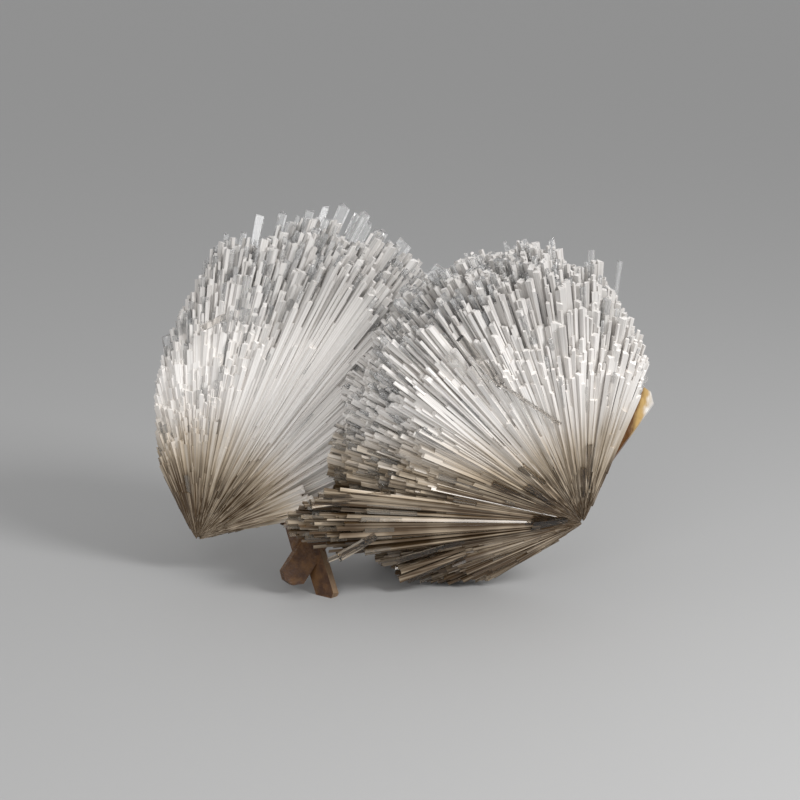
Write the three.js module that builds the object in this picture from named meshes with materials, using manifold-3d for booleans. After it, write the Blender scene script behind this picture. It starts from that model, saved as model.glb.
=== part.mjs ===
// A scolecite cluster: two sheaf-like sprays of slender prisms, grown into one another, with brown
// stilbite blades under and behind them. They stand on one blade in front, one at the back and the
// lowest crystals of the right spray.
//
// Millimetres, +Z up, -Y towards the viewer. The origin is on the ground, under the middle of the
// cluster's outline.
import * as THREE from "three";
import { mergeVertices } from "three/addons/utils/BufferGeometryUtils.js";
import Module from "manifold-3d";

const wasm = await Module();
wasm.setup();

// Driving dimensions

const MIDDLE = [0.46, 11.2]; // X and Y of the middle of the outline as drawn here, where the origin goes
const SEAM = 0.35; // gap between the sprays and the blades that grew against them
const GROUND_DEPTH = 20; // thickness of the block that trims whatever would reach below the ground
const CELL = 5.4; // millimetres between neighbouring crystals at the end of a spray's axis
const WANDER = 0.17; // how far a crystal's edges stray from an even pattern, as a share of a cell
const STEP = 0.2; // crystal lengths are whole numbers of this, so that no wall is a sliver
const POINT = [0.1, 0.4]; // height of a crystal's end, as a share of its width
const CLEARANCE = 0.3; // height above the ground where the middle of a low crystal's end stays
const BELLY = { from: 5, rise: 0.4 }; // in front of this Y, low crystals end on a slope that rises so

// A spray is described by rows of numbers for four ways round its axis, as seen by the viewer:
// clockwise, to the front, anticlockwise and to the back. rim is how far from the axis its crystals
// spread, in degrees. reach is how long they are at 0, 1/4, 1/2, 3/4 and all of the way to the rim.
// long lists the crystals that stand out in the outline or stand on the ground, each by its angle
// from upright, its angle towards the viewer and its length.
const LEFT_SPRAY = {
  apex: [-41.44, 12, 8.15],
  lean: 31, // degrees from upright, towards +X
  pitch: -6, // degrees towards the viewer
  roll: 4, // degrees that the clockwise side is turned to the back
  rim: [43, 13, 55, 34],
  reach: [
    [74, 74, 71, 60, 44],
    [74, 74, 74, 73, 71],
    [74, 70, 60, 38, 18],
    [74, 72, 66, 56, 44],
  ],
  shorter: [0.06, 0.16], // how much shorter than that single crystals are, on the axis and at the rim
  long: [
    [16, -4, 67],
    [21, -9, 69.5],
    [25.5, -5, 73],
    [31.5, -3, 74],
    [36, -5, 72],
    [41, -8, 73],
    [37, 5, 69],
    [12.5, -8, 67.5],
    [9, -8, 65.5],
    [7, 0, 59],
  ],
  seed: 5,
};
const RIGHT_SPRAY = {
  apex: [36.42, 2, 14.87],
  lean: -42,
  pitch: 8,
  roll: 12,
  rim: [60, 13, 86, 48],
  reach: [
    [60, 60, 60, 56, 37],
    [60, 60, 60, 59, 57],
    [60, 55, 52, 42, 28],
    [60, 59, 57, 52, 44],
  ],
  shorter: [0.08, 0.28],
  long: [
    [-43, 16, 58.5],
    [-56, 12, 57],
    [-82, 12, 55.5],
    [-87.5, 9, 58.5],
    [-93, 8, 52],
    [-99, 3, 46],
    [-107, 0, 39],
    [-118, -3, 31.5],
    [-127, -5, 26],
    [-122, -14, 29],
    [-30, 4, 58],
    [-20, 0, 57],
    [-7, -3, 54],
    [7, -6, 51.5],
  ],
  seed: 9,
};

// Stilbite blades, each a flat crystal by the middle of its two ends, its width, its thickness and
// which way its flat side faces. The first two in front cross, and one of them stands on the ground.
const FRONT_BLADES = [
  { from: [-11.3, 9.5, 18.5], to: [-22.4, 1.2, 2.6], width: 5.1, thick: 2.2, faces: [0.3, -1, 0.1] },
  { from: [-20.8, 11, 17.8], to: [-14, 0.2, -1.2], width: 4.2, thick: 1.8, faces: [-0.6, -1, 0.1] },
  { from: [-22, 10.2, 18], to: [-18.2, 5.6, 6], width: 5.4, thick: 3, faces: [-0.1, -1, 0.2] },
  { from: [-22, 9, 13], to: [-14, 16, 7], width: 6, thick: 2, faces: [0.3, 0.4, 1] },
];
const BACK_BLADES = [
  { from: [4, 13, 14], to: [-3.4, 26.5, -1.4], width: 5.2, thick: 2.2, faces: [0.8, -0.2, 0.6] },
  { from: [-6, 13, 15], to: [3.6, 25, 2.4], width: 4.6, thick: 1.8, faces: [0.3, 1, 0.5] },
  { from: [-1, 11, 12], to: [-1.5, 24, 3.4], width: 6.4, thick: 3.4, faces: [0.1, 0.4, 1] },
];
const SIDE_BLADE = {
  from: [38.2, 5.2, 26.6],
  to: [48.9, 9.5, 40.6],
  width: 6.4,
  thick: 1.5,
  faces: [-0.35, -1, 0.2],
};

// Shapes

const vector = (a) => new THREE.Vector3(...a);
const radians = THREE.MathUtils.degToRad;
const lerp = THREE.MathUtils.lerp;

// A repeatable run of numbers from 0 to 1.
function randomFrom(seed) {
  let state = seed;
  return () => {
    state = (state * 1664525 + 1013904223) % 4294967296;
    return state / 4294967296;
  };
}

function solidOf(geometry) {
  for (const name of ["normal", "uv"]) geometry.deleteAttribute(name);
  const merged = mergeVertices(geometry, 1e-5);
  return new wasm.Manifold(
    new wasm.Mesh({
      numProp: 3,
      vertProperties: merged.attributes.position.array,
      triVerts: new Uint32Array(merged.index.array),
    }),
  );
}

function geometryOf(solid) {
  const mesh = solid.getMesh();
  const indexed = new THREE.BufferGeometry()
    .setAttribute("position", new THREE.BufferAttribute(mesh.vertProperties, 3))
    .setIndex(new THREE.BufferAttribute(mesh.triVerts, 1));
  const geometry = indexed.toNonIndexed();
  geometry.computeVertexNormals();
  return geometry;
}

function geometryFrom(points, triangles) {
  return new THREE.BufferGeometry()
    .setAttribute("position", new THREE.Float32BufferAttribute(points.flatMap((p) => p.toArray()), 3))
    .setIndex(triangles.flat());
}

// The direction that leans from upright towards +X and is pitched towards the viewer.
function leaning(lean, pitch) {
  const a = radians(lean);
  const b = radians(pitch);
  return new THREE.Vector3(Math.sin(a) * Math.cos(b), -Math.sin(b), Math.cos(a) * Math.cos(b));
}

// A spray's own axes: along it, clockwise and to the front.
function axesOf(spray) {
  const along = leaning(spray.lean, spray.pitch);
  const clockwise = leaning(spray.lean + 90, 0).applyAxisAngle(along, radians(-spray.roll));
  const front = new THREE.Vector3().crossVectors(along, clockwise).multiplyScalar(-1);
  return { along, clockwise, front };
}

function directionOf(axes, angle, round) {
  const out = Math.sin(angle);
  return axes.along
    .clone()
    .multiplyScalar(Math.cos(angle))
    .addScaledVector(axes.clockwise, out * Math.cos(round))
    .addScaledVector(axes.front, out * Math.sin(round));
}

// A value between the four ways round a spray's axis.
function between(four, round) {
  const turn = (round / (Math.PI / 2) + 8) % 4;
  const way = Math.floor(turn);
  return lerp(four[way], four[(way + 1) % 4], THREE.MathUtils.smoothstep(turn - way, 0, 1));
}

// The angle from a spray's axis to its rim, whose outline is made of quarters of ellipses.
function rimOf({ rim: [clockwise, front, other, back] }, round) {
  const x = Math.cos(round) / (Math.cos(round) > 0 ? clockwise : other);
  const y = Math.sin(round) / (Math.sin(round) > 0 ? front : back);
  return radians(1 / Math.hypot(x, y));
}

function reachOf(spray, share, round) {
  const place = Math.min(share, 1) * 4;
  const step = Math.min(Math.floor(place), 3);
  const at = (way) => lerp(way[step], way[step + 1], place - step);
  return between(spray.reach.map(at), round);
}

// The neighbours of a cell in an even six-sided pattern, going round it, and the corner before each
// of them. A corner is named by a cell and by 0 or 1, for the two kinds of corner of the pattern.
const NEIGHBOURS = [
  { cell: [1, 0], corner: [0, -1, 1] },
  { cell: [0, 1], corner: [0, 0, 0] },
  { cell: [-1, 1], corner: [-1, 0, 1] },
  { cell: [-1, 0], corner: [-1, 0, 0] },
  { cell: [0, -1], corner: [-1, -1, 1] },
  { cell: [1, -1], corner: [0, -1, 0] },
];

// The pattern is drawn on a flat map of the directions from the apex, which keeps areas true.
const spotOf = (size, i, j) => [size * (i + j / 2), size * j * Math.sqrt(0.75)];
const polar = (x, y) => ({ angle: 2 * Math.asin(Math.hypot(x, y) / 2), round: Math.atan2(y, x) });

// How far a crystal can grow before it meets the ground, or the slope under the front.
function toGround({ apex: [, y, z] }, direction) {
  const level = direction.z < 0 ? (z - CLEARANCE) / -direction.z : Infinity;
  const sink = direction.z + BELLY.rise * direction.y;
  const slope = sink < 0 ? (z - CLEARANCE - BELLY.rise * (BELLY.from - y)) / -sink : Infinity;
  return Math.min(level, slope);
}

// The crystals of a spray, one to a cell, each with its direction and length.
function cellsOf(form, size, random) {
  const axes = axesOf(form);
  const rows = Math.ceil((2 * radians(Math.max(...form.rim))) / size);
  const cells = new Map();
  for (let i = -rows; i <= rows; i++) {
    for (let j = -rows; j <= rows; j++) {
      const { angle, round } = polar(...spotOf(size, i, j));
      const rim = rimOf(form, round);
      if (!(angle <= rim)) continue;
      const outerEdge = (angle + size / 2) / rim;
      const direction = directionOf(axes, angle, round);
      const shorten = lerp(...form.shorter, angle / rim) * random();
      const length = reachOf(form, outerEdge, round) * (1 - shorten);
      cells.set(`${i},${j}`, { i, j, direction, length: Math.min(length, toGround(form, direction)) });
    }
  }
  for (const [lean, pitch, length] of form.long) {
    const way = leaning(lean, pitch);
    const [nearest] = [...cells.values()].sort((a, b) => b.direction.dot(way) - a.direction.dot(way));
    nearest.length = length;
  }
  for (const cell of cells.values()) cell.length = Math.round(cell.length / STEP) * STEP;
  return cells;
}

// The direction of each corner of the pattern, a little astray from even.
function cornersOf(form, size, random) {
  const axes = axesOf(form);
  const ways = new Map();
  const stray = () => size * WANDER * (random() * 2 - 1);
  return ([i, j, kind]) => {
    const key = `${i},${j},${kind}`;
    if (!ways.has(key)) {
      const third = (kind + 1) / 3;
      const [x, y] = spotOf(size, i + third, j + third);
      const { angle, round } = polar(x + stray(), y + stray());
      ways.set(key, directionOf(axes, angle, round));
    }
    return ways.get(key);
  };
}

// The tip of a crystal: a point off the middle of its end, a little further out.
function tipOf(apex, ends, random) {
  const pull = ends.map(() => 0.4 + random());
  const total = pull.reduce((sum, part) => sum + part);
  const tip = new THREE.Vector3();
  ends.forEach((end, k) => tip.addScaledVector(end, pull[k] / total));
  const width = ends[0].distanceTo(ends[3]);
  return tip.addScaledVector(tip.clone().sub(apex).normalize(), width * lerp(...POINT, random()));
}

// A spray as six-sided crystals that grow side by side from the apex, each to its own length. A wall
// stands wherever a crystal is longer than its neighbour.
function sheaf(form) {
  const random = randomFrom(form.seed);
  const size = CELL / form.reach[0][0];
  const apex = vector(form.apex);
  const cells = cellsOf(form, size, random);
  const wayOf = cornersOf(form, size, random);
  const points = [apex];
  const places = new Map();
  const pointAt = (corner, length) => {
    if (!length) return 0;
    const key = `${corner},${length.toFixed(3)}`;
    if (!places.has(key)) {
      places.set(key, points.length);
      points.push(apex.clone().addScaledVector(wayOf(corner), length));
    }
    return places.get(key);
  };
  const triangles = [];
  const face = (a, b, c) => {
    if (a !== b && b !== c && c !== a) triangles.push([a, c, b]);
  };
  // A third crystal may end part of the way up a wall, at a corner of it.
  const levels = (low, third, high) => (third > low && third < high ? [low, third, high] : [low, high]);

  for (const { i, j, length } of cells.values()) {
    const around = NEIGHBOURS.map(({ cell }) => cells.get(`${i + cell[0]},${j + cell[1]}`)?.length ?? 0);
    const corners = NEIGHBOURS.map(({ corner: [di, dj, kind] }) => [i + di, j + dj, kind]);
    const ends = corners.map((corner) => pointAt(corner, length));
    const tip = points.length;
    points.push(tipOf(apex, ends.map((end) => points[end]), random));
    for (let k = 0; k < 6; k++) {
      const next = (k + 1) % 6;
      face(ends[k], ends[next], tip);
      const low = around[k];
      if (low >= length) continue;
      const left = levels(low, around[(k + 5) % 6], length).map((far) => pointAt(corners[k], far));
      const right = levels(low, around[next], length).map((far) => pointAt(corners[next], far));
      for (let n = 1; n < left.length; n++) face(left[n - 1], right[0], left[n]);
      for (let n = 1; n < right.length; n++) face(left.at(-1), right[n - 1], right[n]);
    }
  }
  return solidOf(geometryFrom(points, triangles));
}

// A flat crystal with a blunt, six-cornered outline.
function blade({ from, to, width, thick, faces }) {
  const a = vector(from);
  const along = vector(to).sub(a);
  const length = along.length();
  along.normalize();
  const across = new THREE.Vector3().crossVectors(vector(faces), along).normalize();
  const normal = new THREE.Vector3().crossVectors(across, along);
  const half = width / 2;
  const cut = width * 0.3;
  const outline = new THREE.Shape([
    new THREE.Vector2(-half, 0),
    new THREE.Vector2(half, 0),
    new THREE.Vector2(half, length - cut),
    new THREE.Vector2(half * 0.3, length),
    new THREE.Vector2(-half * 0.45, length),
    new THREE.Vector2(-half, length - cut * 0.8),
  ]);
  const geometry = new THREE.ExtrudeGeometry(outline, { depth: thick, bevelEnabled: false });
  geometry.translate(0, 0, -thick / 2);
  geometry.applyMatrix4(new THREE.Matrix4().makeBasis(across, along, normal).setPosition(a));
  return solidOf(geometry);
}

// Assembly

const ground = solidOf(new THREE.BoxGeometry(300, 300, GROUND_DEPTH).translate(0, 0, -GROUND_DEPTH / 2));
const sprays = sheaf(LEFT_SPRAY).add(sheaf(RIGHT_SPRAY)).subtract(ground);
const shifts = [-SEAM, SEAM].flatMap((d) => [[d, 0, 0], [0, d, 0], [0, 0, d]]);
const keptClear = wasm.Manifold.union(shifts.map((shift) => sprays.translate(shift)));

function bladesOf(forms) {
  return wasm.Manifold.union(forms.map(blade)).subtract(keptClear).subtract(ground);
}

// Only the outermost skin is kept, so the gaps that crystals seal in are filled.
function piece(name, solid, colour, roughness) {
  const [skin] = solid.decompose().sort((a, b) => b.volume() - a.volume());
  const geometry = geometryOf(skin).translate(-MIDDLE[0], -MIDDLE[1], 0);
  const material = new THREE.MeshStandardMaterial({ color: colour, roughness, metalness: 0 });
  const mesh = new THREE.Mesh(geometry, material);
  mesh.name = name;
  return mesh;
}

const group = new THREE.Group();
group.add(piece("scolecite_sprays", sprays, 0xe9e4dd, 0.15));
group.add(piece("stilbite_front", bladesOf(FRONT_BLADES), 0x8a6237, 0.6));
group.add(piece("stilbite_back", bladesOf(BACK_BLADES), 0x8a6237, 0.6));
group.add(piece("side_blade", bladesOf([SIDE_BLADE]), 0xddd2bd, 0.4));

export default group;
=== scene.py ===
"""Dresses a scolecite cluster: two sprays of slender prisms, their stilbite blades, and a studio.

Lengths are in millimetres, and become metres where a mesh, a light or a material is made. Angles
are in degrees in the values below, unless they say radians, and in radians where a function calls
them angle or turn.
"""
import math

import bpy
import numpy as np
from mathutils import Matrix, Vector


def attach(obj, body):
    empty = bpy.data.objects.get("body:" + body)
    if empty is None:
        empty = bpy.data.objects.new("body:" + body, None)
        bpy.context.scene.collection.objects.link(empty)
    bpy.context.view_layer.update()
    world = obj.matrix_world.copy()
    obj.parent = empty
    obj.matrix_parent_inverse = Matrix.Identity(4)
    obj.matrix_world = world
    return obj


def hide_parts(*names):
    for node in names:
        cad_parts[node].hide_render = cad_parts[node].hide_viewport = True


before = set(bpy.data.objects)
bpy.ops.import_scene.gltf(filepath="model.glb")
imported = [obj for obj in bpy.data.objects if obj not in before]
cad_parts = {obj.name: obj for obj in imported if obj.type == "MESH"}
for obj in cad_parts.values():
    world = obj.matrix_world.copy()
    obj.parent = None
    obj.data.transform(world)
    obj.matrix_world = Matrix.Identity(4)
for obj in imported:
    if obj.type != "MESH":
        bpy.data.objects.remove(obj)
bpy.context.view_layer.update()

MM = 0.001
GOLDEN_TURN = math.pi * (3 - math.sqrt(5))
TINY = 1e-6  # keeps a division by almost nothing finite

# Camera and studio

LOOK_AT = (-0.46, -1.2, 38.1)
DISTANCE = 444.4
ELEVATION = 14  # above the horizon
LENS = 100
SENSOR = 36
CLIP = (0.01, 100)  # nearest and furthest that the camera sees, in metres
FLOOR_RADIUS = 6000
FLOOR_GREY = 0.4
FLOOR_ROUGHNESS = 0.7
WORLD_STRENGTH = 0.6
# Each light by its name, place, size, power in watts, and where it points.
LIGHTS = (
    ("key", (260, -240, 290), 160, 1.4, (15, 0, 38)),
    ("fill", (-120, -560, 330), 300, 0.8, (0, 0, 40)),
)
GLASS_BOUNCES = 24
DIFFUSE_BOUNCES = 5
GLOSSY_BOUNCES = 6

# The kinds of prisms, on a scale from 0 to 1. Prisms that are listed are at one of its two ends.

CLEAR = 0
WHITE = 1
CLEAR_BELOW = 0.03  # prisms of a kind below this are clear throughout
WHITE_ABOVE = 0.36  # those of a kind above this are white, and those between are cloudy, clear ended
SIDE_WHITE = 0.8  # share of those on the outside that are made white. The others are as inside

# The sprays, as in the solids: each is a fan of prisms from an apex, round an axis. Four values or
# rows are for the four ways round the axis as the viewer sees them, which are clockwise, to the
# front, anticlockwise and to the back.
#
# lean, pitch and roll say how the axis leans towards +X, how it is pitched towards the viewer, and
#   how far the four ways are rolled round it.
# rim is the angle from the axis to the outermost prisms.
# reach is the length of the prisms at 0, 1/4, 1/2, 3/4 and all of the way from the axis to the rim.
# shorter is how much further single prisms can fall short of it at the rim than on the axis.
# terraced is the share of the prisms on the outside that end early.
# body, inside and outside are how many prisms of that layer are spread over a cone as wide as the
#   widest rim, before those past the rim or in another layer are dropped.
# bundles is how many bundles they gather in, spread over the same cone.
# width is that of the narrowest and of the widest of them.
# standing lists prisms that stand out, by lean, pitch, length and width.
# lying lists prisms in front of the others, by their two ends, their width and their kind. An end is
#   its lean, its distance from the apex, and how many degrees it is in front of the rim.
# bunches lists close groups of long prisms, as bunch_of makes them.
# stain_and_shade is the distances from the apex, and low_stain_and_shade the heights, between
#   which the brown fades. It is real stain with painted shade, darkest at the apex and low down.
# seed is that of the random draws.

MIDDLE = (0.46, 11.2, 0)  # the frame's origin in the coordinates of the apexes
LEFT_SPRAY = {
    "name": "left",
    "apex": (-41.44, 12.0, 8.15),
    "lean": 31,
    "pitch": -6,
    "roll": 4,
    "rim": (43, 13, 55, 34),
    "reach": (
        (74, 74, 71, 60, 44),
        (74, 74, 74, 73, 71),
        (74, 70, 60, 38, 18),
        (74, 72, 66, 56, 44),
    ),
    "shorter": (0.14, 0.12, 0.2, 0.14),
    "terraced": (0.5, 0.5, 0.5, 0.4),
    "body": 2600,
    "inside": 17000,
    "outside": 36000,
    "bundles": 300,
    "width": (0.45, 1.3),
    "standing": (
        (24.6, -14, 74.6, 2.0),
        (27.2, -13, 74.2, 1.6),
        (28.0, -12, 75.0, 1.7),
        (29.2, -12, 73.6, 1.5),
        (31.6, -11, 73.4, 2.6),
        (35.6, -9, 74.0, 2.4),
        (38.2, -8, 71.0, 1.5),
        (42.4, -8, 74.6, 2.2),
        (21.8, -14, 73.0, 1.3),
        (19.5, -12, 71.0, 1.5),
        (15.2, -14, 69.0, 1.5),
        (11.4, -12, 67.4, 1.6),
        (9.0, -12, 63.4, 1.0),
        (5.9, -10, 62.6, 1.2),
        (4.4, -10, 60.0, 1.2),
        (2.0, -10, 56.6, 1.0),
        (0.7, -8, 51.4, 1.1),
        (-2.8, -8, 46.0, 1.2),
        (-8.2, -8, 42.2, 1.4),
    ),
    "lying": (
        ((3, 45, 0.8), (8, 48, 0.8), 1.3, CLEAR),
        ((57, 5, 1), (60.5, 26, 7), 1.3, WHITE),
        ((60, 5, 1), (63, 25, 8), 1.3, WHITE),
        ((62, 5, 1), (64.8, 26, 8), 1.1, WHITE),
        ((64, 5, 1), (66.5, 27, 8.5), 1.2, WHITE),
        ((66, 5, 1), (69, 25, 10), 1.3, WHITE),
        ((68, 4, 1), (71, 24, 11), 1.2, WHITE),
        ((70, 4, 1), (72, 22, 13), 1.1, WHITE),
        ((64, 8, 3), (70, 23, 11), 0.9, CLEAR),
        ((69, 6, 2), (72.5, 20, 13), 0.8, WHITE),
    ),
    "bunches": (),
    # real stain and painted shade near the apex and low down
    "stain_and_shade": (6, 38),
    "low_stain_and_shade": (4, 22),
    "seed": 11,
}
RIGHT_SPRAY = {
    "name": "right",
    "apex": (36.42, 2.0, 14.87),
    "lean": -42,
    "pitch": 8,
    "roll": 12,
    "rim": (60, 13, 86, 48),
    "reach": (
        (60, 60, 60, 56, 37),
        (60, 60, 60, 59, 57),
        (60, 55, 52, 42, 28),
        (60, 59, 57, 52, 44),
    ),
    "shorter": (0.15, 0.12, 0.2, 0.15),
    "terraced": (0.5, 0.62, 0.5, 0.4),
    "body": 3600,
    "inside": 24000,
    "outside": 46000,
    "bundles": 420,
    "width": (0.42, 1.15),
    "standing": (
        (-38.6, 6, 59.6, 1.6),
        (-35.0, 3, 58.4, 1.3),
        (-30.8, 0, 59.4, 1.3),
        (-26.5, -2, 57.2, 1.1),
        (-22.4, -2, 58.2, 1.2),
        (-16.0, -2, 58.6, 1.0),
        (-12.2, -3, 58.0, 0.9),
        (-7.0, -4, 57.0, 1.0),
        (1.0, -5, 54.4, 1.0),
        (7.2, -5, 52.6, 1.1),
    ),
    "lying": (
        ((-31, 53, -0.5), (-28.5, 40, 1), 1.5, CLEAR),
        ((-28.8, 41, 1.2), (-14, 26.5, 1.5), 0.8, CLEAR),
        ((-90, 42, 5.5), (-94.5, 49.5, 7.5), 1.6, CLEAR),
        ((-91, 38, 2), (-95.5, 51.5, 6), 0.8, CLEAR),
        ((-76, 12, -1), (-78.6, 50, 1), 1.0, WHITE),
        ((-77, 10, -1), (-79.6, 53, 1), 1.3, WHITE),
        ((-77.5, 40, 0.5), (-80.4, 54, 1.5), 1.0, CLEAR),
        ((-78.5, 12, -1), (-80.8, 51, 0.8), 1.2, WHITE),
        ((-79.5, 10, -1), (-81.8, 54.5, 1), 1.1, WHITE),
        ((-80, 42, 0.5), (-82.6, 55, 1.5), 1.3, CLEAR),
        ((-98, 24, 0.5), (-101.2, 38, 1.5), 1.1, CLEAR),
        ((-102, 24, 0.5), (-105, 37.5, 1.5), 1.0, WHITE),
        ((-104.5, 24, 0.5), (-107.8, 38.5, 1.5), 1.5, WHITE),
        ((-106, 24, 0.5), (-109.5, 37, 1.5), 0.8, CLEAR),
        ((-70, 3.5, 1), (-84, 10.5, 1.2), 3.0, CLEAR),
        ((-72, 4, 1.4), (-87, 12, 1.4), 1.4, CLEAR),
        ((-84, 11, 1), (-86, 18, 1), 1.3, CLEAR),
        ((9, 6, 1), (1, 20, 1), 1.7, CLEAR),
        ((-3, 7, 1), (-3, 14.5, 1), 1.6, CLEAR),
        ((-40, 14, 1), (-43, 20.5, 1), 1.5, CLEAR),
        ((-54, 9, 1), (-52, 16, 1), 1.4, CLEAR),
        ((-62, 12, 1), (-61, 22, 1), 1.2, CLEAR),
    ),
    "bunches": (
        {"count": 340, "lean": (-88.5, 7), "pitch": (5, 6), "reach": (44, 60), "width": (0.45, 1.0)},
    ),
    # real stain and painted shade near the apex and low down
    "stain_and_shade": (4, 40),
    "low_stain_and_shade": (16, 45),
    "seed": 23,
}

# How the prisms grow

OUTSIDE = 0.72  # prisms further from the axis than this share of the rim show their sides
# The layers of loose prisms: the shares of the rim that a layer lies between, where along its length
# a prism starts, and how many times as wide it is as the spray's width says.
LAYERS = {
    "inside": {"shares": (0, OUTSIDE), "start": (0.64, 0.8), "wider": 1.15},
    "outside": {"shares": (OUTSIDE, 1), "start": (0.02, 0.45), "wider": 1.1},
}
LOOSE_STRAY = 0.7  # how far loose prisms stray from even directions, in spacings
EVEN_STRAY = 0.3  # how far bundles and the body's prisms do
SHORTER_ON_AXIS = 0.13  # the most that a prism on the axis is shorter than the reach there
FEW_SHORT = 1.5  # the higher, the fewer prisms are much shorter than their neighbours
FEW_WIDE = 2  # the higher, the fewer prisms are wide
WIDENING = 0.8  # a prism's width where it starts goes by this power of the share where it does
BY_BUNDLE = 0.45  # how much of being shorter a prism has in common with its bundle
BUNDLE_TONE = 0.5  # how much of its tone it has in common with its bundle
EARLY_END = (0.5, 0.98)  # where a prism that ends early does so, as shares of its length
STEEPER = 0.07  # how much nearer to the axis a prism starts than it ends
PARALLEL = 0.25  # how far a prism turns from its own direction to its bundle's
ASTRAY = 0.02  # how far a prism's direction strays, in radians
CLEARANCE = 0.85  # height above the ground where the middles of the lowest tips stay
BELLY = (3, 0.35)  # in front of this Y of the apexes' coordinates, low prisms end on such a slope

# The body inside the loose prisms, by shares of the rim, of the reach, of the way to the ground,
# and of its prisms' own length.
BODY_RIM = 0.9
BODY_REACH = (0.66, 0.86)
BODY_TO_GROUND = 0.94
BODY_START = 0.1

STANDING_LENGTH = 0.35  # a prism that stands out is only made over this outer share of its length
STANDING_TAPER = 0.7  # how wide it is where it starts, as a share of its width
BUNCH_START = 0.2  # where along its length a prism in a bunch starts
BUNCH_TAPER = 0.4  # how wide it is there, as a share of its width
BUNCH_SPREAD = 0.5  # how far its prisms stray from its middle, as a share of the most they do
BUNCH_UNEVEN = 0.6  # how much shorter they are by chance, and again at its edge
NARROWEST_LYING = 0.3  # a lying prism's least width where it starts, as a share of its width
FRONTS = (-70, 70, 561)  # a spray's front is looked for among this many pitches between two

CLEAR_END = (0.8, 5)  # length of the clear end of a cloudy prism
CLEAR_SHARE = 0.45  # the most of a prism that is clear
OVERLAP = 2.2  # how deep its outer piece goes, over the cloudy rest, in lengths of the clear end
DEEPEST = 0.9  # the most of a prism that its outer piece takes
CLOUDY_WIDTH = (0.6, 0.92)  # width of the rest, as a share of the clear end's

# The shape of one prism

THICKNESS = (0.6, 1)  # shares of its width
ROOF = 0.12  # how high its end is folded at most, as a share of its width
SLANT = 0.18  # how much its end slants, as a share of its width
NARROWEST = 0.12  # its least width where it starts, as a share of its width
STRETCH = 10  # it is cut into stretches of about this, which traces faster
CORNERS = np.array([[1, 1], [-1, 1], [-1, -1], [1, -1]])  # of its four-sided section
FOLD = np.array([1, -1, 1, -1])  # which of them its folded end raises and lowers
NO_PRISM = (0.31, 0.77, 0.56)  # a direction that no prism has

# What the materials are made with

SCOLECITE_IOR = 1.51
STILBITE_IOR = 1.5
BY_TONE = 0.45  # how much of its paleness scolecite has from each prism's tone
BY_STREAKS = 0.55  # how much it has from streaks along the prisms
# These browns are real stain and painted shade, darkest near the apex and low down on the shaded
# underside.
STAIN_AND_SHADE = (0.54, 0.44, 0.32), (0.08, 0.046, 0.02)  # of white prisms, where stain and painted shade are slight and strong
SLIGHT = (0, 0.7)  # how much stain and painted shade bring the first of those colours in
STRONG = (0.5, 1)  # how much of them brings in the second
STAIN_AND_SHADE_STREAKS = 0.62  # darker streaks where scolecite has stain and painted shade, as a share of its colour
CROWN = (45, 66)  # heights between which the white prisms turn to the greyer tone of their clear ends
CROWN_TONE = 0.74  # that tone, as a share of the tone below
OUTWARDS = (0.958, 0, -0.287)  # across the white blade, away from its root
ROOT_EDGE = (34.6, 35.8, 37.2)  # how far that way its root turns yellow, and then white
ROOT_FRAYED = 1.6  # how far streaks shift that edge at most


# Directions


def apex_of(spray):
    return np.array(spray["apex"]) - MIDDLE


def leaning(lean, pitch):
    """Directions that lean from upright towards +X and are pitched towards the viewer."""
    a, b = np.radians(lean), np.radians(pitch)
    return np.stack([np.sin(a) * np.cos(b), -np.sin(b), np.cos(a) * np.cos(b)], axis=-1)


def turned(v, axis, angle):
    """v turned about axis by angle."""
    return (
        v * math.cos(angle)
        + np.cross(axis, v) * math.sin(angle)
        + axis * np.dot(axis, v) * (1 - math.cos(angle))
    )


def axes_of(spray):
    """The spray's axis, and the ways clockwise and to the front from it."""
    along = leaning(spray["lean"], spray["pitch"])
    clockwise = turned(leaning(spray["lean"] + 90, 0), along, -math.radians(spray["roll"]))
    return along, clockwise, -np.cross(along, clockwise)


def directions(spray, angle, turn):
    """Directions by their angles from the spray's axis and their turns round it."""
    along, clockwise, front = axes_of(spray)
    out = np.sin(angle)[:, None]
    sideways = clockwise * np.cos(turn)[:, None] + front * np.sin(turn)[:, None]
    return along * np.cos(angle)[:, None] + sideways * out


def between(four, turn):
    """Values between those for the four ways round a spray's axis."""
    place = (turn / (math.pi / 2)) % 4
    way = np.floor(place).astype(int) % 4
    t = place - np.floor(place)
    t = t * t * (3 - 2 * t)
    rows = np.arange(len(turn))
    four = np.broadcast_to(np.asarray(four, float).reshape(4, -1), (4, len(turn)))
    return four[way, rows] * (1 - t) + four[(way + 1) % 4, rows] * t


def rim_of(spray, turn):
    """The angle from a spray's axis to its rim, whose outline is made of quarters of ellipses."""
    clockwise, front, other, back = np.radians(spray["rim"])
    x = np.cos(turn) / np.where(np.cos(turn) > 0, clockwise, other)
    y = np.sin(turn) / np.where(np.sin(turn) > 0, front, back)
    return 1 / np.hypot(x, y)


def reach_of(spray, share, turn):
    """How long the prisms are at a share of the way to the rim."""
    steps = np.linspace(0, 1, len(spray["reach"][0]))
    at_share = [np.interp(share, steps, row) for row in spray["reach"]]
    return between(at_share, turn)


def to_ground(spray, radial):
    """How far a prism can grow before it meets the ground, or the slope under the front."""
    _, y, z = spray["apex"]
    start, rise = BELLY
    level = (z - CLEARANCE) / np.maximum(-radial[:, 2], TINY)
    sink = radial[:, 2] + rise * radial[:, 1]
    slope = (z - CLEARANCE - rise * (start - y)) / np.maximum(-sink, TINY)
    return np.minimum(level, slope)


def cap_of(spray):
    """The height of the cap that a cone as wide as the widest rim cuts off a sphere of radius 1."""
    return 1 - math.cos(math.radians(max(spray["rim"])))


def spacing_of(spray, count):
    """How far apart so many directions are in radians, spread over that cone."""
    return math.sqrt(2 * math.pi * cap_of(spray) / count)


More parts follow.
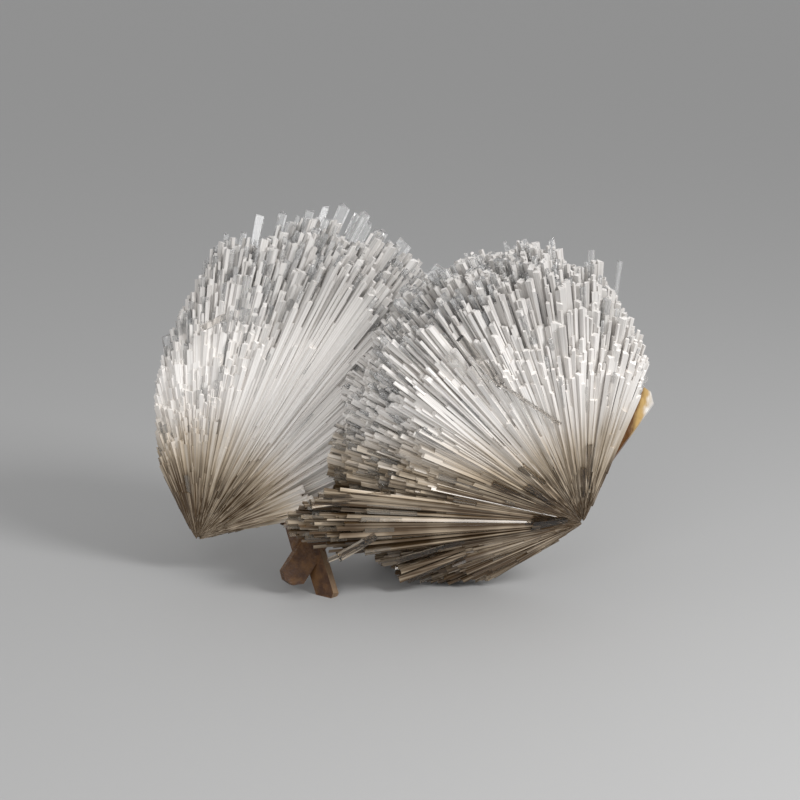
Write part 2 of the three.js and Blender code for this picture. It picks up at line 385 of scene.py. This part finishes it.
def even_directions(spray, count, rng, stray, shares=(0, 1)):
    """Angles from a spray's axis and turns round it, spread evenly between two shares of its rim."""
    k = np.arange(count) + 0.5
    radius = np.sqrt(2 * k / count * cap_of(spray))
    turn = k * GOLDEN_TURN
    spacing = spacing_of(spray, count)
    x = radius * np.cos(turn) + rng.normal(0, stray * spacing, count)
    y = radius * np.sin(turn) + rng.normal(0, stray * spacing, count)
    angle = 2 * np.arcsin(np.clip(np.hypot(x, y) / 2, 0, 1))
    turn = np.arctan2(y, x) % (2 * math.pi)
    share = angle / rim_of(spray, turn)
    keep = (share >= shares[0]) & (share <= shares[1])
    return angle[keep], turn[keep], share[keep]


def front_of(spray, lean):
    """The pitch at which the spray ends at its front, among directions that lean so."""
    pitch = np.linspace(*FRONTS)
    radial = leaning(np.full_like(pitch, lean), pitch)
    along, clockwise, front = axes_of(spray)
    turn = np.arctan2(radial @ front, radial @ clockwise)
    return pitch[np.arccos(radial @ along) < rim_of(spray, turn)].max()


# Prisms, kept as arrays with one row for each


def finished(foot, tip, width, rng, **known):
    """Prisms between two ends, with what isn't known about them drawn at random."""
    count = len(tip)
    prisms = {
        "foot": foot,
        "tip": tip,
        "width": width,
        "thick": width * rng.uniform(*THICKNESS, count),
        "taper": np.ones(count),
        "roll": rng.uniform(0, math.pi, count),
        "roof": rng.uniform(-ROOF, ROOF, count),
        "slant": rng.normal(0, SLANT, (count, 2)),
        "tone": rng.random(count),
        "kind": rng.random(count),
    }
    prisms.update(known)
    return prisms


def chosen(prisms, mask):
    return {key: value[mask] for key, value in prisms.items()}


def joined(*parts):
    return {key: np.concatenate([part[key] for part in parts]) for key in parts[0]}


def lengths_of(spray, radial, turn, share, bundle, rng):
    """How long each prism is, with steps from bundle to bundle and from prism to prism."""
    count = len(turn)
    shorten = SHORTER_ON_AXIS + between(spray["shorter"], turn) * share**2
    own = rng.random(count) ** FEW_SHORT
    by_bundle = rng.random(spray["bundles"])[bundle]
    shorten *= BY_BUNDLE * by_bundle + (1 - BY_BUNDLE) * own
    length = reach_of(spray, share, turn) * (1 - shorten)
    early = (share > OUTSIDE) & (rng.random(count) < between(spray["terraced"], turn))
    length *= np.where(early, rng.uniform(*EARLY_END, count), 1)
    return np.minimum(length, to_ground(spray, radial))


def prisms_of(spray, layer, rng):
    """The loose prisms of one layer, which fan out from the apex and gather in bundles."""
    form = LAYERS[layer]
    angle, turn, share = even_directions(spray, spray[layer], rng, LOOSE_STRAY, form["shares"])
    radial = directions(spray, angle, turn)
    count = len(angle)
    bundle_angle, bundle_turn, _ = even_directions(spray, spray["bundles"], rng, EVEN_STRAY)
    bundles = directions(spray, bundle_angle, bundle_turn)
    bundle = np.argmax(radial @ bundles.T, axis=1)
    length = lengths_of(spray, radial, turn, share, bundle, rng)
    on_side = (share > OUTSIDE) & (rng.random(count) < SIDE_WHITE)

    apex = apex_of(spray)
    steeper = directions(spray, angle * (1 - STEEPER * share), turn)
    away = steeper * (1 - PARALLEL) + bundles[bundle] * PARALLEL + rng.normal(0, ASTRAY, (count, 3))
    away /= np.linalg.norm(away, axis=1)[:, None]
    start = rng.uniform(*form["start"], count)
    tip = apex + radial * length[:, None]
    foot = tip - away * (length * (1 - start))[:, None]

    # The nearer to the apex a prism starts, the nearer it starts to a straight line from there.
    to_line = apex + steeper * (length * start)[:, None] - foot
    foot = foot + to_line * (1 - start)[:, None] ** 2

    narrow, wide = spray["width"]
    width = form["wider"] * (narrow + (wide - narrow) * rng.random(count) ** FEW_WIDE)
    kind = np.where(on_side, WHITE, rng.random(count))
    by_bundle = rng.random(spray["bundles"])[bundle]
    tone = BUNDLE_TONE * by_bundle + (1 - BUNDLE_TONE) * rng.random(count)
    taper = np.maximum(NARROWEST, start**WIDENING)
    return finished(foot, tip, width, rng, taper=taper, kind=kind, tone=tone)


def body_of(spray, rng):
    """The mass of grown together prisms under the loose ones, as wide prisms side by side."""
    angle, turn, share = even_directions(spray, spray["body"], rng, EVEN_STRAY, (0, BODY_RIM))
    radial = directions(spray, angle, turn)
    length = reach_of(spray, share, turn) * rng.uniform(*BODY_REACH, len(turn))
    length = np.minimum(length, to_ground(spray, radial) * BODY_TO_GROUND)
    tip = apex_of(spray) + radial * length[:, None]
    foot = apex_of(spray) + radial * (BODY_START * length)[:, None]
    width = spacing_of(spray, spray["body"]) * length
    return finished(foot, tip, width, rng, thick=width, taper=np.full(len(turn), BODY_START))


def standing_of(spray, rng):
    """The prisms that stand out in the outline."""
    lean, pitch, length, width = np.array(spray["standing"]).T
    radial = leaning(lean, pitch)
    tip = apex_of(spray) + radial * length[:, None]
    foot = tip - radial * (STANDING_LENGTH * length)[:, None]
    taper = np.full(len(tip), STANDING_TAPER)
    return finished(foot, tip, width, rng, taper=taper, kind=np.full(len(tip), float(CLEAR)))


def lying_of(spray, rng):
    """The prisms in front of the others. The nearer to the apex they start, the narrower."""
    apex = apex_of(spray)
    ends = [
        [apex + far * leaning(lean, front_of(spray, lean) + lift) for lean, far, lift in pair]
        for *pair, _, _ in spray["lying"]
    ]
    foot, tip = np.array(ends).transpose(1, 0, 2)
    width, kind = np.array([row[2:] for row in spray["lying"]], float).T
    nearer = np.array([a[1] / b[1] for a, b, *_ in spray["lying"]])
    return finished(foot, tip, width, rng, kind=kind, taper=np.clip(nearer, NARROWEST_LYING, 1))


def bunch_of(spray, form, rng):
    """A bunch of long prisms, longest in its middle, with its lean and pitch and how far both vary."""
    count = form["count"]
    x, y = np.clip(rng.normal(0, BUNCH_SPREAD, (2, count)), -1, 1)
    lean, lean_varies = form["lean"]
    pitch, pitch_varies = form["pitch"]
    radial = leaning(lean + lean_varies * x, pitch + pitch_varies * y)
    inner, outer = form["reach"]
    shorter = BUNCH_UNEVEN * rng.random(count) + BUNCH_UNEVEN * (x * x + y * y)
    length = outer - (outer - inner) * np.clip(shorter, 0, 1)
    tip = apex_of(spray) + radial * length[:, None]
    foot = apex_of(spray) + radial * (length * BUNCH_START)[:, None]
    width = rng.uniform(*form["width"], count)
    return finished(foot, tip, width, rng, taper=np.full(count, BUNCH_TAPER))


def clear_ends(prisms, rng):
    """The clear outer stretch of each prism, and the cloudy rest that narrows inside it."""
    count = len(prisms["tip"])
    way = prisms["tip"] - prisms["foot"]
    length = np.linalg.norm(way, axis=1)
    way /= length[:, None]
    end = np.minimum(rng.uniform(*CLEAR_END, count), CLEAR_SHARE * length)
    deeper = np.minimum(end * OVERLAP, DEEPEST * length)
    ends = dict(prisms)
    ends["foot"] = prisms["tip"] - way * deeper[:, None]
    ends["taper"] = 1 - (1 - prisms["taper"]) * deeper / length
    rest = dict(prisms)
    rest["tip"] = prisms["tip"] - way * end[:, None]
    rest["width"] = prisms["width"] * rng.uniform(*CLOUDY_WIDTH, count)
    rest["thick"] = prisms["thick"] * rng.uniform(*CLOUDY_WIDTH, count)
    rest["taper"] = prisms["taper"] * prisms["width"] / rest["width"]
    return ends, rest


# Meshes


def rings_of(prisms, stretches):
    """Rings of four corners from each prism's foot to its tip."""
    way = prisms["tip"] - prisms["foot"]
    along = way / np.linalg.norm(way, axis=1)[:, None]
    aside = np.cross(along, NO_PRISM)
    aside /= np.linalg.norm(aside, axis=1)[:, None]
    across = np.cross(along, aside)
    roll = prisms["roll"][:, None]
    u = aside * np.cos(roll) + across * np.sin(roll)
    v = across * np.cos(roll) - aside * np.sin(roll)
    a = prisms["width"][:, None] / 2 * CORNERS[:, 0]
    b = prisms["thick"][:, None] / 2 * CORNERS[:, 1]
    ring = u[:, None] * a[..., None] + v[:, None] * b[..., None]
    rings = []
    for step in np.linspace(0, 1, stretches + 1):
        size = prisms["taper"] + (1 - prisms["taper"]) * step
        rings.append((prisms["foot"] + way * step)[:, None] + ring * size[:, None, None])
    height = prisms["slant"][:, :1] * a + prisms["slant"][:, 1:] * b
    height = height + (prisms["roof"] * prisms["width"])[:, None] * FOLD
    rings[-1] += along[:, None] * height[..., None]
    return np.stack(rings, axis=1)


def faces_of(stretches):
    """The faces of a prism by its corners: four to each stretch, and its two ends."""
    side = [[k, (k + 1) % 4, 4 + (k + 1) % 4, 4 + k] for k in range(4)]
    faces = [[4 * row + corner for corner in quad] for row in range(stretches) for quad in side]
    last = 4 * stretches
    return np.array(faces + [[3, 2, 1, 0], [last, last + 1, last + 2, last + 3]])


def prism_mesh(name, prisms):
    """All the prisms as one mesh, each cut into stretches of about the same length."""
    length = np.linalg.norm(prisms["tip"] - prisms["foot"], axis=1)
    cuts = np.maximum(1, np.ceil(length / STRETCH)).astype(int)
    points, quads, tones = [], [], []
    first = 0
    for stretches in np.unique(cuts):
        some = chosen(prisms, cuts == stretches)
        rings = rings_of(some, stretches)
        faces = faces_of(stretches)
        corners = 4 * (stretches + 1)
        firsts = first + corners * np.arange(len(rings))
        points.append(rings.reshape(-1, 3))
        quads.append((faces + firsts[:, None, None]).reshape(-1, 4))
        tones.append(np.repeat(some["tone"], len(faces)))
        first += corners * len(rings)
    return mesh_from_quads(name, *[np.concatenate(parts) for parts in (points, quads, tones)])


def mesh_from_quads(name, points, quads, tones):
    """A flat shaded mesh in metres, whose faces carry a tone for the material."""
    mesh = bpy.data.meshes.new(name)
    mesh.vertices.add(len(points))
    mesh.vertices.foreach_set("co", (points * MM).astype(np.float32).ravel())
    mesh.loops.add(quads.size)
    mesh.loops.foreach_set("vertex_index", quads.astype(np.int32).ravel())
    mesh.polygons.add(len(quads))
    mesh.polygons.foreach_set("loop_start", np.arange(0, quads.size, 4, dtype=np.int32))
    tone = mesh.attributes.new("tone", "FLOAT", "FACE")
    tone.data.foreach_set("value", tones.astype(np.float32))
    mesh.update(calc_edges=True)
    mesh.validate()
    mesh.shade_flat()
    return mesh


def prism_piece(name, prisms, material):
    """One visible piece of scolecite, in place of the solid one."""
    mesh = prism_mesh(name, prisms)
    mesh.materials.append(material)
    piece = bpy.data.objects.new(name, mesh)
    bpy.context.scene.collection.objects.link(piece)
    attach(piece, "root")
    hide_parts("scolecite_sprays")


# Materials


class Finish:
    """A material whose nodes are wired to what is passed in."""

    def __init__(self, name, **values):
        self.material = bpy.data.materials.new(name)
        self.material.use_nodes = True
        self.tree = self.material.node_tree
        self.shader = self.tree.nodes["Principled BSDF"]
        self.wire(**values)

    def wire(self, **values):
        """Sets the shader's own sockets, named with underscores for spaces."""
        for socket, value in values.items():
            self.put(self.shader, socket.replace("_", " "), value)

    def put(self, node, socket, value):
        """Links a node's socket to what another node gives, or sets it."""
        if isinstance(value, bpy.types.NodeSocket):
            self.tree.links.new(value, node.inputs[socket])
        else:
            node.inputs[socket].default_value = value

    def add(self, kind, *values, **settings):
        """A new node's first output, with its inputs set in order."""
        node = self.tree.nodes.new("ShaderNode" + kind)
        for key, value in settings.items():
            setattr(node, key, value)
        for place, value in enumerate(values):
            self.put(node, place, value)
        return node.outputs[0]

    def noise(self, vector, scale, detail):
        node = self.tree.nodes.new("ShaderNodeTexNoise")
        self.put(node, "Vector", vector)
        self.put(node, "Scale", scale)
        self.put(node, "Detail", detail)
        return node.outputs["Fac"]

    def ramp(self, value, low, high, to_low=0, to_high=1):
        """A smooth step from to_low to to_high while the value goes from low to high."""
        node = self.tree.nodes.new("ShaderNodeMapRange")
        node.interpolation_type = "SMOOTHSTEP"
        for place, number in enumerate((value, low, high, to_low, to_high)):
            self.put(node, place, number)
        return node.outputs["Result"]

    def blend(self, factor, a, b):
        """A colour between two others."""
        node = self.tree.nodes.new("ShaderNodeMix")
        node.data_type = "RGBA"
        self.put(node, "Factor", factor)
        for side, colour in (("A", a), ("B", b)):
            self.put(node, side, colour if isinstance(colour, bpy.types.NodeSocket) else (*colour, 1))
        return node.outputs["Result"]

    def measure(self, operation, a, b=None):
        """The number that a vector operation gives, such as a length or a dot product."""
        node = self.tree.nodes.new("ShaderNodeVectorMath")
        node.operation = operation
        self.put(node, 0, a)
        if b is not None:
            self.put(node, 1, b)
        return node.outputs["Value"]

    def maths(self, operation, a, b):
        return self.add("Math", a, b, operation=operation)

    def times(self, vector, factors):
        """A vector stretched along its axes."""
        return self.add("VectorMath", vector, factors, operation="MULTIPLY")

    def bump(self, height, strength, depth):
        node = self.tree.nodes.new("ShaderNodeBump")
        self.put(node, "Strength", strength)
        self.put(node, "Distance", depth * MM)
        self.put(node, "Height", height)
        self.wire(Normal=node.outputs["Normal"])

    def geometry(self, output):
        return self.tree.nodes.new("ShaderNodeNewGeometry").outputs[output]

    def position(self):
        return self.geometry("Position")

    def tone(self):
        """The tone that each prism's faces carry."""
        node = self.tree.nodes.new("ShaderNodeAttribute")
        node.attribute_name = "tone"
        return node.outputs["Fac"]


def in_metres(lengths):
    return [MM * length for length in lengths]


def dimmed(colour, share):
    return tuple(share * c for c in colour)


def stain_and_shade_of(finish, spray, offset, along, height):
    """How much stain and painted shade a place has, by its offset from the apex, the way there, and
    its height.
    """
    near = finish.ramp(finish.measure("LENGTH", offset), *in_metres(spray["stain_and_shade"]), 1, 0)
    # painted shade low down, where the underside is shaded, together with real stain
    low = finish.ramp(height, *in_metres(spray["low_stain_and_shade"]), 1, 0)
    streaky = finish.ramp(finish.noise(along, scale=45, detail=4), 0.3, 0.7, 0.7, 1.15)
    patchy = finish.ramp(finish.noise(finish.position(), scale=120, detail=2), 0.3, 0.7, 0.85, 1.05)
    uneven = finish.maths("MULTIPLY", streaky, patchy)
    return finish.maths("MULTIPLY", finish.maths("MAXIMUM", near, low), uneven)


def scolecite(name, spray, grey, pale, stain_and_shade_colours, crown_tone=1, **values):
    """Scolecite of one spray, streaked along its prisms, darker towards the apex and low down.

    Streaks are grey and pale; stain and painted shade bring one colour slightly, another strongly.
    """
    finish = Finish(f"{spray['name']}_{name}", IOR=SCOLECITE_IOR, **values)
    apex = Vector(apex_of(spray)) * MM
    offset = finish.add("VectorMath", finish.position(), apex, operation="SUBTRACT")
    along = finish.add("VectorMath", offset, operation="NORMALIZE")
    height = finish.measure("DOT_PRODUCT", finish.position(), (0, 0, 1))
    stain_and_shade = stain_and_shade_of(finish, spray, offset, along, height)

    streaks = finish.ramp(finish.noise(along, scale=190, detail=3), 0.38, 0.62, to_high=BY_STREAKS)
    mixed = finish.maths("ADD", finish.maths("MULTIPLY", finish.tone(), BY_TONE), streaks)
    clean = finish.blend(mixed, grey, pale)
    if crown_tone < 1:
        crown = finish.ramp(height, *in_metres(CROWN))
        darker = finish.blend(mixed, dimmed(grey, crown_tone), dimmed(pale, crown_tone))
        clean = finish.blend(crown, clean, darker)
    slight, strong = (
        finish.blend(mixed, dimmed(colour, STAIN_AND_SHADE_STREAKS), colour) for colour in stain_and_shade_colours
    )
    # brown of real stain and painted shade, strongest near the apex and low down
    colour = finish.blend(finish.ramp(stain_and_shade, *SLIGHT), clean, slight)
    finish.wire(Base_Color=finish.blend(finish.ramp(stain_and_shade, *STRONG), colour, strong))
    return finish.material


def clear_scolecite(spray):
    """The clear prisms, and the clear ends of the cloudy ones."""
    white = (1, 1, 1)
    # tints of stain and painted shade
    stain_and_shade_colours = (0.95, 0.9, 0.82), (0.82, 0.7, 0.55)
    return scolecite("clear", spray, white, white, stain_and_shade_colours, Roughness=0.03, Transmission_Weight=0.85)


def smoky_scolecite(spray):
    """The clear prisms that lie in front of the others."""
    grey, pale = (0.78, 0.75, 0.71), (0.9, 0.875, 0.85)
    # tints of stain and painted shade
    stain_and_shade_colours = (0.83, 0.75, 0.65), (0.68, 0.56, 0.42)
    return scolecite("smoky", spray, grey, pale, stain_and_shade_colours, Roughness=0.06, Transmission_Weight=1)


def milky_scolecite(spray):
    """The cloudy prisms and the white ones."""
    grey, pale = (0.7, 0.665, 0.63), (0.95, 0.925, 0.9)
    return scolecite("milky", spray, grey, pale, STAIN_AND_SHADE, CROWN_TONE, Roughness=0.25)


def massive_scolecite(spray):
    """The body of grown together prisms."""
    grey, pale = (0.8, 0.77, 0.735), (0.95, 0.93, 0.905)
    return scolecite("massive", spray, grey, pale, STAIN_AND_SHADE, CROWN_TONE, Roughness=0.4)


def stilbite():
    """Dull orange brown crystal, mottled, with fine ridges across and painted sheen on faces to +X."""
    dark, light = (0.05, 0.018, 0.005), (0.135, 0.062, 0.019)
    speckled, sheen_to_right = (0.22, 0.13, 0.055), (0.3, 0.21, 0.13)
    finish = Finish("stilbite", IOR=STILBITE_IOR)
    mottled = finish.ramp(finish.noise(finish.position(), scale=420, detail=4), 0.35, 0.68)
    grain = finish.noise(finish.position(), scale=2600, detail=3)
    ridges = finish.noise(finish.times(finish.position(), (0.25, 1, 3.5)), scale=900, detail=3)
    colour = finish.blend(mottled, dark, light)
    colour = finish.blend(finish.ramp(grain, 0.6, 0.8, to_high=0.5), colour, speckled)
    # painted sheen: faces turned to +X, towards the key light, are paler
    to_right = finish.measure("DOT_PRODUCT", finish.geometry("True Normal"), (1, 0, 0))
    colour = finish.blend(finish.ramp(to_right, 0.6, 0.8, to_high=0.6), colour, sheen_to_right)
    finish.wire(Base_Color=colour, Roughness=finish.ramp(grain, 0.3, 0.7, 0.35, 0.75))
    relief = finish.maths("ADD", finish.maths("MULTIPLY", ridges, 0.7), grain)
    finish.bump(relief, strength=0.5, depth=0.25)
    return finish.material


def white_blade():
    """White pearly crystal with a yellow brown root along the spray."""
    brown, yellow = (0.13, 0.055, 0.015), (0.55, 0.36, 0.13)
    grey, pale = (0.66, 0.63, 0.59), (0.88, 0.87, 0.84)
    finish = Finish("white_blade", IOR=STILBITE_IOR)
    streaks = finish.noise(finish.times(finish.position(), (1, 1, 0.3)), scale=1100, detail=3)
    outwards = finish.measure("DOT_PRODUCT", finish.position(), OUTWARDS)
    outer = finish.maths("ADD", outwards, finish.maths("MULTIPLY", streaks, ROOT_FRAYED * MM))
    inner, middle, rim = in_metres(ROOT_EDGE)
    root = finish.blend(finish.ramp(outer, inner, middle), brown, yellow)
    white = finish.blend(finish.ramp(streaks, 0.35, 0.65), grey, pale)
    finish.wire(
        Base_Color=finish.blend(finish.ramp(outer, middle, rim), root, white),
        Roughness=finish.ramp(streaks, 0.3, 0.7, 0.25, 0.5),
    )
    finish.bump(streaks, strength=0.5, depth=0.3)
    return finish.material


def matt_grey():
    grey = (FLOOR_GREY, FLOOR_GREY, FLOOR_GREY, 1)
    return Finish("floor", Base_Color=grey, Roughness=FLOOR_ROUGHNESS).material


# Studio


def aim(thing, at):
    thing.rotation_euler = (Vector(at) * MM - thing.location).to_track_quat("-Z", "Y").to_euler()


def camera():
    data = bpy.data.cameras.new("camera")
    data.lens = LENS
    data.sensor_width = SENSOR
    data.clip_start, data.clip_end = CLIP
    thing = bpy.data.objects.new("camera", data)
    bpy.context.scene.collection.objects.link(thing)
    tilt = math.radians(ELEVATION)
    back = Vector((0, -math.cos(tilt), math.sin(tilt))) * DISTANCE
    thing.location = (Vector(LOOK_AT) + back) * MM
    aim(thing, LOOK_AT)
    bpy.context.scene.camera = thing


def floor():
    bpy.ops.mesh.primitive_circle_add(vertices=96, radius=FLOOR_RADIUS * MM, fill_type="NGON")
    disc = bpy.context.object
    disc.name = "floor"
    disc.data.materials.append(matt_grey())


def area_light(name, place, size, power, at):
    data = bpy.data.lights.new(name, "AREA")
    data.shape = "DISK"
    data.size = size * MM
    data.energy = power
    thing = bpy.data.objects.new(name, data)
    bpy.context.scene.collection.objects.link(thing)
    thing.location = Vector(place) * MM
    aim(thing, at)


def studio():
    """White surroundings and two soft lights, with enough bounces for light to cross many prisms."""
    world = bpy.data.worlds.new("studio")
    world.use_nodes = True
    background = world.node_tree.nodes["Background"]
    background.inputs["Color"].default_value = (1, 1, 1, 1)
    background.inputs["Strength"].default_value = WORLD_STRENGTH
    bpy.context.scene.world = world
    for light in LIGHTS:
        area_light(*light)
    bpy.context.scene.view_settings.view_transform = "Standard"
    cycles = bpy.context.scene.cycles
    cycles.max_bounces = GLASS_BOUNCES
    cycles.transmission_bounces = GLASS_BOUNCES
    cycles.diffuse_bounces = DIFFUSE_BOUNCES
    cycles.glossy_bounces = GLOSSY_BOUNCES


# The whole


def refinish(node, material):
    """Another material for a piece that keeps its CAD mesh."""
    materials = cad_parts[node].data.materials
    materials.clear()
    materials.append(material)


def dress(spray):
    """One spray: its prisms in pieces by their kind and layer, and the body inside."""
    rng = np.random.default_rng(spray["seed"])
    inside = prisms_of(spray, "inside", rng)
    outside = prisms_of(spray, "outside", rng)
    lying = lying_of(spray, rng)
    standing = standing_of(spray, rng)
    bunches = [bunch_of(spray, form, rng) for form in spray["bunches"]]
    inside = joined(inside, standing, *bunches)
    outside = joined(outside, chosen(lying, lying["kind"] == WHITE))

    every = joined(inside, outside)
    all_clear = every["kind"] < CLEAR_BELOW
    all_white = every["kind"] > WHITE_ABOVE
    ends, rest = clear_ends(chosen(every, ~all_clear & ~all_white), rng)
    body = body_of(spray, rng)

    clear, smoky, milky = clear_scolecite(spray), smoky_scolecite(spray), milky_scolecite(spray)
    pieces = {
        "clear_prisms": (chosen(every, all_clear), clear),
        "smoky_prisms": (chosen(lying, lying["kind"] == CLEAR), smoky),
        "clear_ends": (ends, clear),
        "cloudy_prisms": (rest, milky),
        "inner_prisms": (chosen(inside, inside["kind"] > WHITE_ABOVE), milky),
        "outer_prisms": (chosen(outside, outside["kind"] > WHITE_ABOVE), milky),
        "body": (body, massive_scolecite(spray)),
    }
    for piece, (prisms, material) in pieces.items():
        prism_piece(f"{spray['name']}_{piece}", prisms, material)


camera()
floor()
studio()
dress(LEFT_SPRAY)
dress(RIGHT_SPRAY)
for node in ("stilbite_front", "stilbite_back"):
    refinish(node, stilbite())
refinish("side_blade", white_blade())
